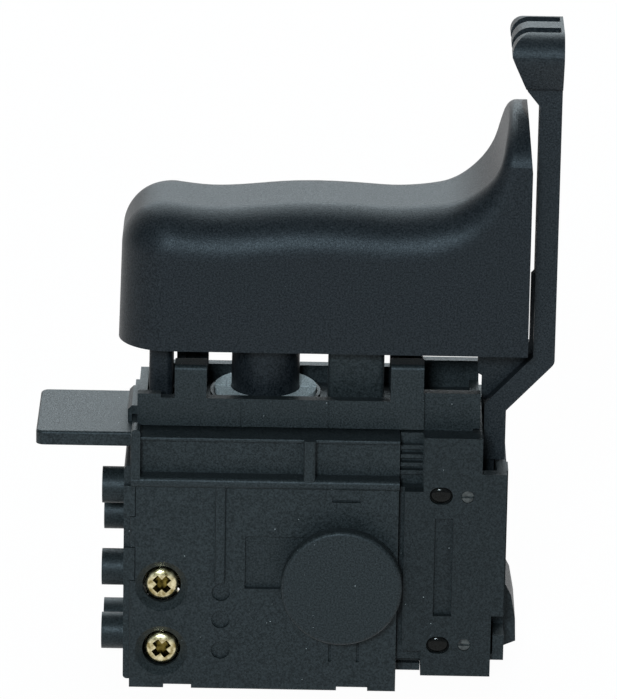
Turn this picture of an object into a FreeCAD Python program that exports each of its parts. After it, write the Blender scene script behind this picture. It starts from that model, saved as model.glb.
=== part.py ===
import FreeCAD, Part
import math
import os

# Trigger switch of a hand-held rotary power tool, in millimetres.
# It stands on the bottom face of its housing, with the trigger up.
# X runs along the trigger, Y into the switch from its front cover, Z up.
# The origin is on the bottom face, under the plunger's axis.

Vector = FreeCAD.Vector

# Main housing, two moulded halves that meet at the parting face
body_left = -16.5
body_width = 33.4
body_height = 33.4
cover_depth = 3.2
base_depth = 19.2
parting_y = -8.0
shell_wall = 1.6
shell_corner = 1.0
cover_edge_round = 0.2
foot_notch_depth = 0.55
foot_notch_left = (-12.2, -8.7)
foot_notch_right_inset = (7.4, 3.5)

# Relief on the front cover
ridge_drop = 6.4
ridge_height = 1.3
ridge_rise = 0.8
panel_sink = 1.5
panel_top_gap = 0.4
flange_width = 1.2
flange_above_body = 1.2
mid_rib_inset = 11.95
mid_rib_width = 1.5
long_rib_left = -5.9
long_rib_width = 1.3
long_rib_rise = 0.6
long_rib_bottom = 14.4
dimple_x = -5.1
dimple_heights = (5.2, 9.3, 12.95)
dimple_radius = 1.15
dimple_depth = 0.5
pocket_reach = 12.05
pocket_below_button = 1.6
pocket_above_button = 5.4
pocket_depth = 0.8
track_slit = 0.35
track_slit_depth = 0.5
track_half_width = 1.75
track_above_button = 10.4
track_below_button = 11.2

# Terminals: front row and back row, the wires enter from the left
terminal_x = -12.5
front_row_y = -3.4
back_row_y = 5.0
front_screw_heights = (5.0, 13.6)
push_in_drop = 8.8
back_screw_heights = (3.7, 18.0)
wire_radius = 1.35
wire_drop = 0.4
collar_radius = 2.3
collar_length = 2.9
collar_mouth = 0.45
terminal_plate_thickness = 0.8
clamp_length = 4.8
clamp_width = 4.4
clamp_height = 3.9
clamp_opening = 2.5
clamp_wall_gap = 0.25
screw_radius = 1.2
screw_head_radius = 2.1
screw_head_height = 1.4
screw_head_sink = 0.7
screw_port_radius = 2.4
screw_port_chamfer = 0.9
screw_recess_width = 0.95
screw_recess_depth = 0.9
screw_tip_gap = 0.05
upper_hook_drops = (10.6, 6.4)
lower_hook_heights = (14.3, 18.8)
hook_reach = 0.7
hook_thickness = 0.8
hook_gap = 0.1

# Slide frame on top of the housing
band_height = 4.0
frame_left_inset = 0.7
frame_step_reach = 2.8
frame_lever_gap = 0.6
frame_wall = 1.4
frame_floor = 1.4
frame_foot_inset = 0.9
frame_foot_height = 0.35
back_wall_drop = 0.35
left_rise = 0.5
left_rise_right = -12.9
end_wall_thickness = 1.05
end_wall_drop = 1.4
ear_height = 4.2
right_ear_extra = 0.5
ear_depth = 3.5
left_ear = (-11.2, -7.25)
right_ear_insets = (4.2, 0.1)
side_band_rise = 0.9
side_band_inset = 0.8
seam_width = 0.25
seam_depth = 0.2
seam_places = (-2.9, 8.0)
guard_tab_length = 11.1
guard_tab_thickness = 1.8
guard_tab_drop = 2.4
guard_tab_half_depth = 7.95
guard_tab_corner = 1.0
bracket_half_depth = 3.8
bracket_wall = 0.5
bracket_rise = 1.5
guide_post = (7.8, 14.8)
guide_post_half_depth = 3.6
guide_post_height = 15.0
guide_post_wall = 1.3

# Trigger and what it carries
trigger_travel = 5.5
trigger_stop_gap = 1.2
trigger_left_reach = 1.8
trigger_right_reach = 2.0
trigger_half_depth = 9.6
trigger_wall = 1.4
trigger_roof = 3.8
trigger_grip_height = 17.55
trigger_tongue_height = 29.75
tongue_corner_cut = 0.8
trigger_arch_rise = 6.15
trigger_tongue_thickness = 2.3
trigger_end_corner = 6.2
tongue_lean = 0.5
trigger_left_draft = 0.4
trigger_side_draft = 0.12
trigger_edge_radius = 5.6
tongue_side_radius = 1.6
tongue_edge_radius = 1.1
trigger_boss_wall = 1.2
trigger_boss_length = 7.45
trigger_left_rib = -9.0
trigger_right_rib_inset = 11.4
trigger_rib_thickness = 1.0
trigger_rib_depth = 4.0
skirt_gap = 0.4
lever_notch_height = 5.4
lever_notch_half_depth = 7.3
leg_left = -14.5
leg_width = 2.95
leg_half_depth = 3.3
leg_corner = 0.8
leg_lift = 2.8
guide_gap = 0.25

# Plunger, its seal and the contact slider under it
plunger_radius = 4.25
running_gap = 0.08
press_gap = 0.02
spigot_radius = 2.0
spigot_length = 3.0
seal_radius = 6.4
seal_height = 1.7
seal_split = 0.25
seal_gap = 0.1
collar_outer = 6.9
collar_rise = 1.2
slider_half_width = 5.6
slider_front = -4.4
slider_back = 4.6
slider_corner = 0.6
slider_stop_gap = 0.3
spring_pocket_radius = 3.8
spring_pocket_depth = 5.0
bridge_rise = 4.0
bridge_left = -8.5
bridge_inner_end = -4.6
bridge_overhang = 1.0
contact_thickness = 0.7
contact_width = 2.2
contact_y = 2.2
contact_reach = 3.45
contact_tip_radius = 0.9
contact_tip_height = 0.3
contact_tip_x = -7.4
fixed_contact_gap = 0.25

# Return spring, one closed coil of wire between the floor and the slider
return_spring_radius = 3.1
return_spring_wire = 0.7
return_spring_turns = 7
spring_end_gap = 0.05

# Lock button on the front
button_inset = 7.0
button_z = 15.1
button_travel = 1.8
button_cap_radius = 7.55
button_cap_thickness = 1.7
button_cap_standoff = 2.1
button_cap_round = 0.5
button_stem_radius = 2.0
button_nose_radius = 0.8
button_nose_length = 1.8
button_well_radius = 4.3
button_well_depth = 2.4
button_well_floor = 1.2
button_stem_end = 0.35
clip_radius = 3.2
clip_thickness = 0.6
clip_gap = 0.05
clip_groove_depth = 0.5
clip_opening = 2.6
lock_spring_radius = 3.2
lock_spring_wire = 0.45
lock_spring_turns = 3
latch_gap = 0.3
arm_thickness = 2.6
arm_past_button = 2.1
arm_depth = 3.2

# Reversing unit on the right
unit_gap = 0.1
unit_width = 13.4
unit_front_y = -11.0
unit_cover_thickness = 1.7
unit_back_y = 10.6
unit_bottom = 3.8
unit_wall = 1.4
unit_left_wall = 3.2
unit_floor_top = 4.6
unit_corner = 1.0
unit_foot_bottom = 2.2
unit_foot_insets = (3.0, 1.7)
unit_cover_rise = 0.4
unit_cover_right_inset = 0.2
unit_cover_right_step = 10.3
unit_cover_left_inset = 0.6
unit_cover_upper_inset = 2.9
unit_cover_lower_bottom = 5.5
unit_cover_step_drop = 6.7
cover_eye_inset = 5.1
cover_eye_low = 6.3
cover_eye_drop = 7.2
cover_eye_width = 2.9
cover_eye_height = 2.25
cover_eye_gap = 0.05
rivet_sink = 0.4
rivet_flange_width = 3.6
rivet_flange_height = 3.2
rivet_flange = 0.8
pin_from_eye = 3.3
pin_shift = 0.1
pin_radius = 0.75
pin_gap = 0.05
pin_sink = 0.1
pin_slot = 0.3
pin_flange_radius = 1.4
cover_slot_insets = (4.4, 6.7)
cover_slot_bottom = 10.2
cover_slot_drop = 10.2
cover_slot_depth = 0.9
unit_square_inset = 1.5
unit_square_heights = (7.1, 10.0)
unit_square_back = -5.0
bulge_front = -2.5
bulge_back = 8.0
bulge_root_inset = 1.8
bulge_reach = 1.7
bulge_bottom = 2.25
bulge_top = 11.3
comb_drops = (4.9, 3.9, 2.8, 1.6)
comb_thickness = 0.5
comb_front_y = -8.8
comb_reach = 2.8
comb_back_y = -7.9
link_bar_heights = (1.0, 2.3)
link_bar_thickness = 0.95
link_bar_front_y = -6.2
link_bar_back_y = 2.0

# Reversing lever, swung about a pin along X
pivot_drop = 11.4
pivot_radius = 1.1
pivot_gap = 0.05
pivot_seat_gap = 0.02
hub_radius = 2.6
hub_thickness = 1.4
lever_side_gap = 0.3
lever_half_depth = 2.8
lever_web_half = 0.7
lever_base_inset = 3.0
lever_width = 2.7
lever_base_lift = 0.9
lever_bend_rise = 2.15
lever_bend_slope = 1.06
lever_bend_drop = 0.85
lever_bend_round = 1.2
lever_trigger_gap = 0.9
lever_arm_half = 1.6
lever_web_rise = 16.75
lever_web_reach = 0.45
lever_gusset_rise = 7.45
lever_gusset_reach = (0.35, 0.9)
lever_gusset_step_rise = 3.05
knob_overhang = 3.7
knob_shoulder_overhang = 1.6
knob_shoulder_drop = 7.8
knob_height = 9.8
knob_above_trigger = 10.25
knob_corner = 2.3
knob_half_depth = 6.2
knob_top_half = 3.2
knob_widest_drop = 2.5
knob_waist_drop = 8.9
knob_fin = 2.75
knob_groove_depth = 1.6
knob_groove_end = 0.4
lever_slot_half_depth = 6.0
lever_slot_gap = 0.25
lever_slot_drop = 6.1
lever_open_drop = 4.3
lever_open_front = -5.9
partition_thickness = 1.7
partition_half_height = 3.4
partition_front = -3.5
swing_arm_half = 1.2
swing_arm_length = 7.4
bridge_half_width = 1.35
bridge_height = 1.8
bridge_lift = 0.2
bridge_depth = 2.6
blade_inner_y = 2.8
blade_thickness = 0.7
blade_width = 2.2
blade_overlap = 3.4
ball_radius = 1.0
ball_gap = 0.3
ball_post_half = 2.0
ball_post_drop = 1.6
ball_bore_gap = 0.08
detent_spring_length = 3.8
detent_spring_radius = 0.65
detent_spring_wire = 0.3
detent_spring_turns = 4

# Board and its parts
board_thickness = 1.6
board_left = -8.6
board_right_inset = 2.3
board_bottom = 2.4
board_top_drop = 2.8
board_gap_back = 0.5
board_post_radius = 1.2
board_post_inset = 2.6
chip_insets = (8.1, 2.1)
chip_drops = (10.6, 3.6)
chip_thickness = 1.6
heat_sink_insets = (9.1, 0.6)
heat_sink_drops = (12.1, 1.6)
heat_sink_thickness = 1.0
heat_sink_fin = 3.4
capacitor_radius = 2.1
capacitor_insets = (7.8, 1.2)
capacitor_z = 11.0
wiper_span = (-3.0, -1.0)
wiper_thickness = 0.5
wiper_rise = 6.1
wiper_root = 0.8
wiper_gap = 0.2

# Places worked out from the sizes above: the main housing
body_right = body_left + body_width
face_y = parting_y - cover_depth
back_y = parting_y + base_depth
foot_notch_right = tuple(body_right - inset for inset in foot_notch_right_inset)
ridge_bottom = body_height - ridge_drop
mid_rib_left = body_right - mid_rib_inset
push_in_height = body_height - push_in_drop
hook_heights = (tuple(body_height - drop for drop in upper_hook_drops), lower_hook_heights)
button_x = body_right - button_inset
pocket_left = button_x - pocket_reach
pocket_bottom = button_z - pocket_below_button
pocket_top = button_z + pocket_above_button
track_top = button_z + track_above_button
track_bottom = button_z - track_below_button

# The reversing unit
unit_left = body_right + unit_gap
unit_right = unit_left + unit_width
unit_top = body_height
unit_joint_y = unit_front_y + unit_cover_thickness
unit_foot = (unit_left + unit_foot_insets[0], unit_right - unit_foot_insets[1])
unit_cover_top = body_height + unit_cover_rise
unit_cover_right = unit_right - unit_cover_right_inset
unit_cover_left = unit_left + unit_cover_left_inset
unit_cover_upper_left = unit_left + unit_cover_upper_inset
unit_cover_step_z = body_height - unit_cover_step_drop
cover_eye_x = unit_left + cover_eye_inset
cover_eye_heights = (cover_eye_low, body_height - cover_eye_drop)
pin_x = cover_eye_x + pin_from_eye
pin_heights = (cover_eye_heights[0] + pin_shift, cover_eye_heights[1] - pin_shift)
cover_slot = tuple(unit_left + inset for inset in cover_slot_insets)
cover_slot_top = body_height - cover_slot_drop
unit_square_left = unit_right - unit_square_inset
bulge_root = unit_right - bulge_root_inset
comb_heights = tuple(body_height - drop for drop in comb_drops)
comb_right = unit_left + comb_reach

# The slide frame and the trigger
frame_left = body_left + frame_left_inset
frame_step_x = unit_left + frame_step_reach
lever_base_left = unit_right - lever_base_inset
frame_right = lever_base_left - frame_lever_gap
right_ear = tuple(frame_step_x - inset for inset in right_ear_insets)
guard_tab_bottom = body_height - guard_tab_drop
band_top = body_height + band_height
frame_half_depth = trigger_half_depth - trigger_wall - skirt_gap
frame_top_of_floor = body_height + frame_floor
guide_post_top = frame_top_of_floor + guide_post_height
collar_top = frame_top_of_floor + collar_rise
leg_bottom = body_height + leg_lift
trigger_left = body_left - trigger_left_reach
trigger_right = unit_right + trigger_right_reach
trigger_bottom = band_top + trigger_travel + trigger_stop_gap
trigger_roof_z = trigger_bottom + trigger_grip_height - 0.4 - trigger_roof
trigger_boss_bottom = trigger_roof_z - trigger_boss_length
trigger_rib_places = (trigger_left_rib, trigger_right - trigger_right_rib_inset)

# The slider and the lock button
cap_front_y = face_y - button_cap_standoff - button_cap_thickness
cap_back_y = face_y - button_cap_standoff
slider_top = body_height - shell_wall - slider_stop_gap
latch_top = button_z - button_nose_radius - latch_gap + trigger_travel
slider_bottom = latch_top - arm_thickness
arm_end = button_x + arm_past_button
bridge_z = slider_bottom + bridge_rise
well_back_y = face_y + button_well_depth + button_well_floor
clip_front_y = well_back_y + clip_gap
stem_end_y = clip_front_y + clip_thickness + button_stem_end

# The lever
pivot_z = body_height - pivot_drop
slot_left = lever_base_left - lever_slot_gap
lever_slot_bottom = body_height - lever_slot_drop
lever_open_bottom = body_height - lever_open_drop
lever_base_bottom = lever_slot_bottom + lever_base_lift
lever_bend_bottom = body_height + lever_bend_rise
lever_web_top = lever_bend_bottom + lever_web_rise
lever_gusset_top = lever_bend_bottom + lever_gusset_rise
lever_gusset_step = lever_bend_bottom + lever_gusset_step_rise
lever_bar_left = trigger_right + lever_trigger_gap
lever_bar_right = lever_bar_left + lever_width
knob_left = lever_bar_left - knob_overhang
knob_shoulder = lever_bar_left - knob_shoulder_overhang
knob_top = trigger_bottom + trigger_tongue_height + knob_above_trigger
knob_shoulder_bottom = knob_top - knob_shoulder_drop
knob_bottom = knob_top - knob_height
knob_widest = knob_top - knob_widest_drop
knob_waist = knob_top - knob_waist_drop
swing_arm_left = lever_base_left
swing_arm_end = pivot_z - swing_arm_length
partition_right = swing_arm_left - lever_side_gap
partition_heights = (pivot_z - partition_half_height, pivot_z + partition_half_height)
blade_top = swing_arm_end + blade_overlap
ball_post_top = swing_arm_end - ball_post_drop
ball_bore_bottom = swing_arm_end - ball_gap - 2 * ball_radius - detent_spring_length

# The board
board_back_y = back_y - shell_wall - board_gap_back
board_front_y = board_back_y - board_thickness
board_span = (board_left, body_right - board_right_inset)
board_heights = (board_bottom, body_height - board_top_drop)
chip_span = tuple(board_span[1] - inset for inset in chip_insets)
chip_heights = tuple(board_heights[1] - drop for drop in chip_drops)
heat_sink_span = tuple(board_span[1] - inset for inset in heat_sink_insets)
heat_sink_heights = tuple(board_heights[1] - drop for drop in heat_sink_drops)
capacitor_span = tuple(board_span[1] - inset for inset in capacitor_insets)


def box(x, y, z):
    """A block between two corners, each axis given as (low, high)."""
    shape = Part.makeBox(x[1] - x[0], y[1] - y[0], z[1] - z[0])
    shape.translate(Vector(x[0], y[0], z[0]))
    return shape


def rod_x(radius, x, y, z):
    return Part.makeCylinder(radius, x[1] - x[0], Vector(x[0], y, z), Vector(1, 0, 0))


def rod_y(radius, x, y, z):
    return Part.makeCylinder(radius, y[1] - y[0], Vector(x, y[0], z), Vector(0, 1, 0))


def rod_z(radius, x, y, z):
    return Part.makeCylinder(radius, z[1] - z[0], Vector(x, y, z[0]), Vector(0, 0, 1))


def line(a, b):
    return Part.LineSegment(a, b).toShape()


def slab_xz(points, y):
    """A flat outline in X and Z, carried through a depth in Y."""
    corners = [Vector(px, y[0], pz) for px, pz in points]
    face = Part.Face(Part.makePolygon(corners + corners[:1]))
    return face.extrude(Vector(0, y[1] - y[0], 0))


def round_edges(shape, radius, wanted):
    """Round the edges for which wanted(edge) is true."""
    edges = [edge for edge in shape.Edges if wanted(edge)]
    return shape.makeFillet(radius, edges)


def runs_along(edge, axis):
    box_of = edge.BoundBox
    lengths = (box_of.XLength, box_of.YLength, box_of.ZLength)
    others = [lengths[i] for i in range(3) if i != axis]
    return lengths[axis] > 0.01 and max(others) < 1e-6


def coil(mean_radius, wire_radius, low, high, turns, centre):
    """One spring wire, wound about a line along Z."""
    rise = (high - low - 2 * wire_radius)
    helix = Part.makeHelix(rise / turns, rise, mean_radius)
    helix.translate(Vector(0, 0, low + wire_radius))
    start = Vector(mean_radius, 0, low + wire_radius)
    ring = Part.Wire([Part.makeCircle(wire_radius, start, Vector(0, 1, 0))])
    spring = Part.Wire(helix.Edges).makePipeShell([ring], True, True)
    spring.translate(centre)
    return spring


def save(name, built):
    shape = Part.makeCompound(built) if isinstance(built, list) else built
    shape.exportStep(os.path.join("parts", name + ".step"))
    print(name, len(shape.Solids), "solid", "valid" if shape.isValid() else "NOT VALID",
          round(shape.Volume, 1), "mm3")


def wire_places():
    """Depth and height of each wire entry."""
    front = [(front_row_y, z - wire_drop) for z in front_screw_heights + (push_in_height,)]
    return front + [(back_row_y, z - wire_drop) for z in back_screw_heights]


def screw_places():
    """Depth of the outer face, height and outward direction of each terminal screw."""
    front = [(face_y, z, -1) for z in front_screw_heights]
    return front + [(back_y, z, 1) for z in back_screw_heights]


def clamp_span():
    left = body_left + shell_wall + clamp_wall_gap
    return (left, left + clamp_length)


def screw_port(outer_y, z, way):
    """The stepped hole that a terminal screw is reached through."""
    inner_y = outer_y - way * (shell_wall + 0.01)
    bore = rod_y(screw_port_radius, terminal_x, sorted((outer_y, inner_y)), z)
    wide = screw_port_radius + screw_port_chamfer
    cone = Part.makeCone(wide, screw_port_radius, screw_port_chamfer,
                         Vector(terminal_x, outer_y, z), Vector(0, -way, 0))
    return bore.fuse(cone)


def housing_base():
    shell = box((body_left, body_right), (parting_y, back_y), (0, body_height))
    shell = round_edges(shell, shell_corner, lambda e: e.BoundBox.YMin > back_y - 0.01)
    inside = box((body_left + shell_wall, body_right - shell_wall),
                 (parting_y, back_y - shell_wall), (shell_wall, body_height - shell_wall))
    shell = shell.cut(inside)
    for notch in (foot_notch_left, foot_notch_right):
        shell = shell.cut(box(notch, (parting_y, back_y), (0, foot_notch_depth)))
    tools = [rod_z(plunger_radius + running_gap, 0, 0, (body_height - shell_wall, body_height))]
    tools.append(leg_hole(body_height - shell_wall, body_height))
    for y, z in wire_places():
        tools.append(rod_x(wire_radius, (body_left, body_left + shell_wall), y, z))
    for outer_y, z, way in screw_places():
        if way > 0:
            tools.append(screw_port(outer_y, z, way))
    shell = shell.cut(Part.makeCompound(tools))
    seat = rod_z(return_spring_radius - return_spring_wire / 2 - 0.3, 0, 0,
                 (shell_wall - 0.1, shell_wall + 2.2))
    posts = [rod_y(board_post_radius, x, (board_back_y, back_y - shell_wall + 0.1), z)
             for x, z in board_post_places()]
    return shell.fuse([seat] + posts)


def board_post_places():
    """Where the four posts hold the board."""
    inset = board_post_inset
    return [(x, z) for x in (board_span[0] + inset, board_span[1] - inset)
            for z in (board_heights[0] + inset, board_heights[1] - inset)]


def leg_hole(low, high):
    return box((leg_left - guide_gap, leg_left + leg_width + guide_gap),
               (-leg_half_depth - guide_gap, leg_half_depth + guide_gap), (low, high))


def front_cover():
    tray = box((body_left, body_right), (face_y, parting_y), (0, body_height))
    tray = round_edges(tray, cover_edge_round, lambda e: e.BoundBox.YMax < face_y + 0.01)
    solid_from = ridge_bottom - 0.5
    tray = tray.cut(box((body_left + shell_wall, body_right - shell_wall),
                        (face_y + shell_wall, parting_y), (shell_wall, solid_from)))
    for notch in (foot_notch_left, foot_notch_right):
        tray = tray.cut(box(notch, (face_y, parting_y), (0, foot_notch_depth)))

    ridge_top = ridge_bottom + ridge_height
    panel_y = face_y + panel_sink
    panel_top = body_height - panel_top_gap
    mid_rib_right = mid_rib_left + mid_rib_width
    left_panel = box((body_left + flange_width, mid_rib_left), (face_y - 1, panel_y),
                     (ridge_top, panel_top))
    right_panel = box((mid_rib_right, body_right + 1), (face_y - 1, panel_y),
                      (ridge_top, panel_top))
    front_y = face_y - ridge_rise
    ridge = box((body_left + 0.1, body_right), (front_y, face_y + 0.6), (ridge_bottom, ridge_top))
    ridge = round_edges(ridge, 0.5, lambda e: runs_along(e, 0) and e.BoundBox.YMax < front_y + 0.01)
    flange_top = body_height + flange_above_body
    flange = box((body_left + 0.1, body_left + flange_width), (front_y, panel_y + 0.4),
                 (ridge_top - 0.3, flange_top))
    flange = round_edges(flange, 0.5, lambda e: runs_along(e, 1) and e.BoundBox.ZMin > flange_top - 0.01)
    mid_rib = box((mid_rib_left, mid_rib_right), (front_y, panel_y + 0.4),
                  (ridge_top - 0.3, body_height))
    mid_rib = round_edges(mid_rib, 0.4, lambda e: runs_along(e, 2) and e.BoundBox.YMax < front_y + 0.01)
    long_rib = box((long_rib_left, long_rib_left + long_rib_width),
                   (face_y - long_rib_rise, face_y + 0.3), (long_rib_bottom, ridge_bottom + 0.2))
    long_rib = round_edges(long_rib, 0.25, lambda e: runs_along(e, 2)
                           and e.BoundBox.YMax < face_y - long_rib_rise + 0.01)
    tray = tray.cut(Part.makeCompound([left_panel, right_panel]))
    tray = tray.fuse([ridge, flange, mid_rib, long_rib])

    # the well that the lock button's spring sits in
    well_floor_y = face_y + button_well_depth
    boss = rod_y(button_well_radius + 1.0, button_x,
                 (face_y + shell_wall - 0.1, well_floor_y + button_well_floor), button_z)
    tray = tray.fuse(boss)
    tools = [rod_y(button_well_radius, button_x, (face_y - 1, well_floor_y), button_z)]
    tools.append(rod_y(button_stem_radius + running_gap, button_x,
                       (face_y, well_floor_y + button_well_floor + 0.1), button_z))
    for outer_y, z, way in screw_places():
        if way < 0:
            tools.append(screw_port(outer_y, z, way))
    for z in dimple_heights:
        tools.append(rod_y(dimple_radius, dimple_x, (face_y - 0.1, face_y + dimple_depth), z))
    pocket = box((pocket_left, button_x - button_well_radius + 0.3),
                 (face_y - 0.1, face_y + pocket_depth), (pocket_bottom, pocket_top))
    tools.append(pocket)
    slit_y = (face_y - 0.1, face_y + track_slit_depth)
    for side in (-1, 1):
        middle = button_x + side * track_half_width + 0.45
        tools.append(box((middle - track_slit / 2, middle + track_slit / 2), slit_y,
                         (track_bottom, button_z - button_well_radius)))
    tools.append(box((button_x - track_half_width + 0.45, button_x + track_half_width + 0.45),
                     slit_y, (track_top - track_slit, track_top)))
    latch_y = (face_y - 0.1, face_y + hook_thickness)
    for low, high in hook_heights:
        tools.append(box((body_left - 0.1, body_left + hook_reach), latch_y, (low, high)))
    return tray.cut(Part.makeCompound(tools))


def terminal_block():
    """The comb on the left side with its five wire collars and two hooks."""
    right = body_left
    left = right - terminal_plate_thickness
    plate = box((left, right), (face_y + 0.5, back_y - 1.2), (1.0, guard_tab_bottom - 1.6))
    plate = round_edges(plate, 0.5, lambda e: runs_along(e, 1) and e.BoundBox.XMax < left + 0.01)
    pieces = []
    for y, z in wire_places():
        pieces.append(rod_x(collar_radius, (left - collar_length, left + 0.1), y, z))
    for low, high in hook_heights:
        z = (low + hook_gap, high - hook_gap)
        pieces.append(box((left, right), (face_y, face_y + 0.6), z))
        pieces.append(box((right - 0.1, right + hook_reach - hook_gap),
                          (face_y, face_y + hook_thickness - hook_gap), z))
    block = plate.fuse(pieces)
    bores = [rod_x(wire_radius, (left - collar_length - 0.1, right + 0.1), y, z)
             for y, z in wire_places()]
    mouths = [Part.makeCone(wire_radius + collar_mouth, wire_radius, collar_mouth,
                            Vector(left - collar_length, y, z), Vector(1, 0, 0))
              for y, z in wire_places()]
    return block.cut(Part.makeCompound(bores)).cut(Part.makeCompound(mouths))


def terminal_clamps():
    """Brass cage clamps, one behind each wire entry."""
    clamps = []
    x = clamp_span()
    for y, z in wire_places():
        middle = z + wire_drop
        block = box(x, (y - clamp_width / 2, y + clamp_width / 2),
                    (middle - clamp_height / 2, middle + clamp_height / 2))
        half = clamp_opening / 2
        block = block.cut(box((x[0] - 1, x[1] - 0.8), (y - half, y + half), (z - half, z + half)))
        if y == front_row_y and middle < push_in_height:
            block = block.cut(rod_y(screw_radius, terminal_x, (y - clamp_width, y), middle))
        if y == back_row_y:
            block = block.cut(rod_y(screw_radius, terminal_x, (y, y + clamp_width), middle))
        clamps.append(block)
    return clamps


def terminal_screws():
    screws = []
    for outer_y, z, way in screw_places():
        row_y = front_row_y if way < 0 else back_row_y
        top = outer_y - way * screw_head_sink
        under = top - way * screw_head_height
        tip = row_y + way * (wire_radius + screw_tip_gap)
        head = Part.makeCylinder(screw_head_radius, screw_head_height,
                                 Vector(terminal_x, under, z), Vector(0, way, 0))
        head = round_edges(head, 0.35, lambda e: abs(e.BoundBox.YMin - top) < 0.01
                           and abs(e.BoundBox.YMax - top) < 0.01)
        shank = Part.makeCylinder(screw_radius - 0.03, abs(under - tip) + 0.1,
                                  Vector(terminal_x, tip, z), Vector(0, way, 0))
        screw = head.fuse(shank)
        depth = sorted((top + way, top - way * screw_recess_depth))
        across = screw_head_radius * 0.72
        half = screw_recess_width / 2
        cross = box((terminal_x - across, terminal_x + across), depth, (z - half, z + half))
        cross = cross.fuse(box((terminal_x - half, terminal_x + half), depth,
                               (z - across, z + across)))
        screws.append(screw.cut(cross))
    return screws


def slide_frame():
    """The open frame that the trigger runs over, with its ears, collar and guard tab."""
    y = frame_half_depth
    z_low = body_height + frame_foot_height
    foot = box((frame_left + frame_foot_inset, frame_right - frame_foot_inset),
               (-y + frame_foot_inset, y - frame_foot_inset), (body_height, frame_top_of_floor))
    floor = box((frame_left, frame_step_x), (-y, y), (z_low, frame_top_of_floor))
    front = box((frame_left, frame_step_x), (-y, -y + frame_wall), (z_low, band_top))
    back_left = frame_left + end_wall_thickness
    back = box((back_left, frame_step_x), (y - frame_wall, y), (z_low, band_top - back_wall_drop))
    pieces = [foot, floor, front, back]
    for side in (-1, 1):
        outer = sorted((side * y, side * (y - ear_depth)))
        thin = sorted((side * y, side * (y - frame_wall)))
        for ear, extra in ((left_ear, 0), (right_ear, right_ear_extra)):
            top = band_top + ear_height + extra
            block = box(ear, outer, (frame_top_of_floor - 0.1, top))
            block = round_edges(block, 0.6, lambda e: runs_along(e, 0) and e.BoundBox.ZMin > top - 0.01)
            inner = sorted((side * (y - frame_wall), side * (y - ear_depth - 0.1)))
            hollow = box((ear[0] + 1.0, ear[1] - 1.0), inner, (frame_top_of_floor, top - 1.4))
            pieces.append(block.cut(hollow))
        if side < 0:
            pieces.append(box((frame_left, left_rise_right), thin, (z_low, band_top + left_rise)))
        low_y = y - side_band_inset
        strip = sorted((side * low_y, side * (low_y - frame_wall)))
        pieces.append(box((frame_step_x - 0.5, frame_right), strip,
                          (z_low + 0.4, band_top + side_band_rise)))
    pieces.append(box((frame_step_x - 0.5, frame_right),
                      (-y + side_band_inset, y - side_band_inset), (z_low, frame_top_of_floor)))
    pieces.append(box((frame_right - 1.2, frame_right), (-y + side_band_inset, y - side_band_inset),
                      (z_low + 0.4, frame_top_of_floor + 1.0)))
    end_x = (frame_left, frame_left + end_wall_thickness)
    pieces.append(box(end_x, (-y, y), (z_low, band_top - end_wall_drop)))
    pieces.append(guard_tab())
    pieces.append(rod_z(collar_outer, 0, 0, (frame_top_of_floor - 0.1, collar_top)))
    post = box(guide_post, (-guide_post_half_depth, guide_post_half_depth),
               (frame_top_of_floor - 0.1, guide_post_top))
    post = round_edges(post, 0.5, lambda e: runs_along(e, 2))
    pieces.append(post)
    frame = pieces[0].fuse(pieces[1:])

    tools = [rod_z(plunger_radius + running_gap, 0, 0, (body_height - 1, collar_top))]
    tools.append(rod_z(seal_radius + seal_gap, 0, 0, (frame_top_of_floor, collar_top + 1)))
    tools.append(leg_hole(body_height - 1, frame_top_of_floor + 1))
    tools.append(box((guide_post[0] + guide_post_wall, guide_post[1] - guide_post_wall),
                     (-guide_post_half_depth + guide_post_wall, guide_post_half_depth - guide_post_wall),
                     (frame_top_of_floor, guide_post_top + 1)))
    for x in seam_places:
        tools.append(box((x - seam_width / 2, x + seam_width / 2), (-y - 0.1, -y + seam_depth),
                         (z_low - 0.1, band_top + 0.1)))
    return frame.cut(Part.makeCompound(tools)).removeSplitter()


def guard_tab():
    """The plate that sticks out to the left, and the bracket it grows from."""
    root = body_left - 0.1
    tip = frame_left - 1.5 - guard_tab_length
    top = guard_tab_bottom + guard_tab_thickness
    half = guard_tab_half_depth
    plate = box((tip, root), (-half, half), (guard_tab_bottom, top))
    plate = round_edges(plate, guard_tab_corner, lambda e: runs_along(e, 2) and e.BoundBox.XMax < tip + 0.01)
    plate = round_edges(plate, 0.35, lambda e: e.BoundBox.ZMin > top - 0.01 and e.BoundBox.XMin < root - 2)
    outer = root - bracket_wall
    over = body_height + frame_foot_height
    bracket = slab_xz([(outer, guard_tab_bottom), (root, guard_tab_bottom), (root, over),
                       (frame_left + 0.1, over), (frame_left + 0.1, body_height + bracket_rise),
                       (root, body_height + bracket_rise), (outer, body_height + bracket_rise - bracket_wall)],
                      (-bracket_half_depth, bracket_half_depth))
    return plate.fuse(bracket)


def plunger_seal():
    """A split ring: two halves with a fine gap between them."""
    ring = rod_z(seal_radius, 0, 0, (frame_top_of_floor, frame_top_of_floor + seal_height))
    ring = ring.cut(rod_z(plunger_radius + running_gap, 0, 0,
                          (frame_top_of_floor - 1, frame_top_of_floor + seal_height + 1)))
    reach = seal_radius + 1
    ring = ring.cut(box((-reach, reach), (-seal_split / 2, seal_split / 2),
                        (frame_top_of_floor - 1, frame_top_of_floor + seal_height + 1)))
    return ring.Solids


def smooth_curve(points, start, end):
    curve = Part.BSplineCurve()
    curve.interpolate(points, InitialTangent=start, FinalTangent=end)
    return curve.toShape()


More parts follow.
